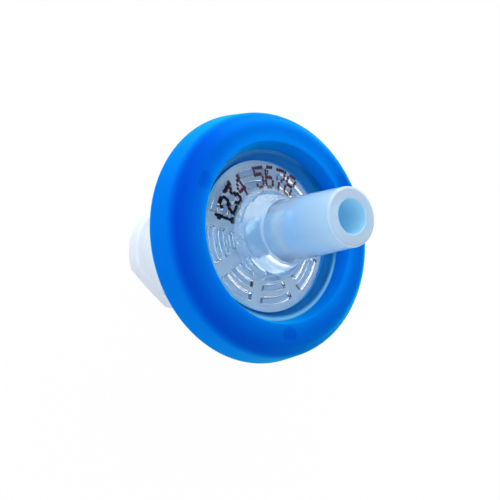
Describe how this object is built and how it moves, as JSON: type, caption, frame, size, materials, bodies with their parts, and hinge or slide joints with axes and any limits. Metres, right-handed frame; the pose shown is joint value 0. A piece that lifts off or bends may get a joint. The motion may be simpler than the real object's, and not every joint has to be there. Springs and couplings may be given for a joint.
{
  "type": "syringe filter",
  "caption": "Overmoulded disc syringe filter: female luer-lock inlet hub, clamped membrane on a support grid, slip-luer outlet tip and a blue sealing ring.",
  "frame": {"origin": "centre of the inlet hub's end face, which the part stands on", "axes": "+Z along the flow, from the inlet to the outlet tip; +X through the middle of one sector of the support grid"},
  "size_m": [0.0174, 0.0174, 0.0203],
  "materials": {
    "natural_polypropylene": "unpigmented, translucent, moulded gloss; the luer tip slightly frosted",
    "porous_membrane": "white, matte, finely porous",
    "blue_polypropylene": "opaque saturated blue, semi-gloss as moulded",
    "marking_ink": null
  },
  "bodies": {
    "root": {"inlet_housing": "natural_polypropylene", "filter_membrane": "porous_membrane", "outlet_housing": "natural_polypropylene", "overmould_ring": "blue_polypropylene"}
  },
  "joints": []
}
